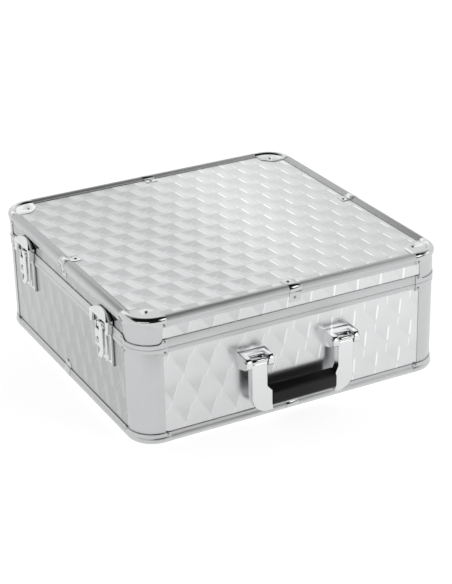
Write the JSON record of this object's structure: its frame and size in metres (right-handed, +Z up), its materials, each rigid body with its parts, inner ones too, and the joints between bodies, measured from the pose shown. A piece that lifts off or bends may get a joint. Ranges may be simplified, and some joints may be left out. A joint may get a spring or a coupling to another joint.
{
  "type": "art supply box",
  "caption": "Square aluminium-clad art supply box with hinged lid, key latches, chrome corners and a black carrying handle.",
  "frame": {"origin": "centre of the case's footprint, on the plane it stands on", "axes": "+Z up, -Y towards the front wall with the handle, -X towards the wall with the latches"},
  "size_m": [0.4129, 0.4158, 0.1555],
  "materials": {
    "swirl_aluminium": "overlapping swirled circles brushed into bright aluminium sheet",
    "wrap_aluminium": "smooth satin aluminium sheet",
    "edging_aluminium": "bright anodised extrusion",
    "chrome": "polished chrome plate",
    "rivet_steel": "domed nickel-plated heads",
    "lock_steel": "turned and polished",
    "board": "raw plywood and fibreboard",
    "lining": "short black nylon pile on foam",
    "grip_plastic": "fine-grained black moulding"
  },
  "bodies": {
    "base": {"base_bottom_board": "board", "base_corner_posts": "board", "base_corner_wraps": "wrap_aluminium", "base_front_board": "board", "base_front_skin": "swirl_aluminium", "base_left_board": "board", "base_left_skin": "swirl_aluminium", "base_lining": "lining", "base_rear_board": "board", "base_rear_skin": "swirl_aluminium", "base_right_board": "board", "base_right_skin": "swirl_aluminium", "base_rim_corners": "wrap_aluminium", "base_rim_lengths": "edging_aluminium", "base_rivets": "rivet_steel", "bottom_corner_caps": "wrap_aluminium", "bottom_edging_joiners": "chrome", "bottom_edging_lengths": "edging_aluminium", "front_latch_plate": "chrome", "handle_bracket_left": "chrome", "handle_bracket_right": "chrome", "handle_pins": "chrome", "hinge_base_leaves": "chrome", "hinge_pins": "chrome", "rear_latch_plate": "chrome"},
    "lid": {"front_latch_keeper": "chrome", "hinge_lid_leaves": "chrome", "latch_hasp_pins": "chrome", "lid_corner_caps": "chrome", "lid_corner_posts": "board", "lid_corner_wraps": "wrap_aluminium", "lid_edging_front": "edging_aluminium", "lid_edging_joiners": "chrome", "lid_edging_left": "edging_aluminium", "lid_edging_rear": "edging_aluminium", "lid_edging_right": "edging_aluminium", "lid_front_board": "board", "lid_front_skin": "swirl_aluminium", "lid_left_board": "board", "lid_left_skin": "swirl_aluminium", "lid_lining": "lining", "lid_rear_board": "board", "lid_rear_skin": "swirl_aluminium", "lid_right_board": "board", "lid_right_skin": "swirl_aluminium", "lid_rim_corners": "wrap_aluminium", "lid_rim_lengths": "edging_aluminium", "lid_rivets": "rivet_steel", "lid_top_board": "board", "lid_top_skin": "swirl_aluminium", "rear_latch_keeper": "chrome"},
    "handle": {"handle_frame": "chrome", "handle_grip": "grip_plastic"},
    "front_hasp": {"front_latch_hasp": "chrome"},
    "rear_hasp": {"rear_latch_hasp": "chrome"},
    "front_lock": {"front_lock_cylinder": "lock_steel"},
    "rear_lock": {"rear_lock_cylinder": "lock_steel"}
  },
  "joints": [
    {"name": "lid_hinge", "type": "hinge", "parent": "base", "child": "lid", "pos_m": [0.2035, 0, 0.11735], "axis": [0, 1, 0], "range_deg": [0, 100]},
    {"name": "handle_swing", "type": "hinge", "parent": "base", "child": "handle", "pos_m": [-0.0016, -0.21355, 0.082], "axis": [-1, 0, 0], "range_deg": [0, 95]},
    {"name": "front_hasp_swing", "type": "hinge", "parent": "lid", "child": "front_hasp", "pos_m": [-0.2025, -0.114, 0.1215], "axis": [0, 1, 0], "range_deg": [0, 110]},
    {"name": "rear_hasp_swing", "type": "hinge", "parent": "lid", "child": "rear_hasp", "pos_m": [-0.2025, 0.114, 0.1215], "axis": [0, 1, 0], "range_deg": [0, 110]},
    {"name": "front_lock_turn", "type": "hinge", "parent": "base", "child": "front_lock", "pos_m": [-0.2, -0.0998, 0.096], "axis": [1, 0, 0], "range_deg": [0, 90]},
    {"name": "rear_lock_turn", "type": "hinge", "parent": "base", "child": "rear_lock", "pos_m": [-0.2, 0.1282, 0.096], "axis": [1, 0, 0], "range_deg": [0, 90]}
  ]
}
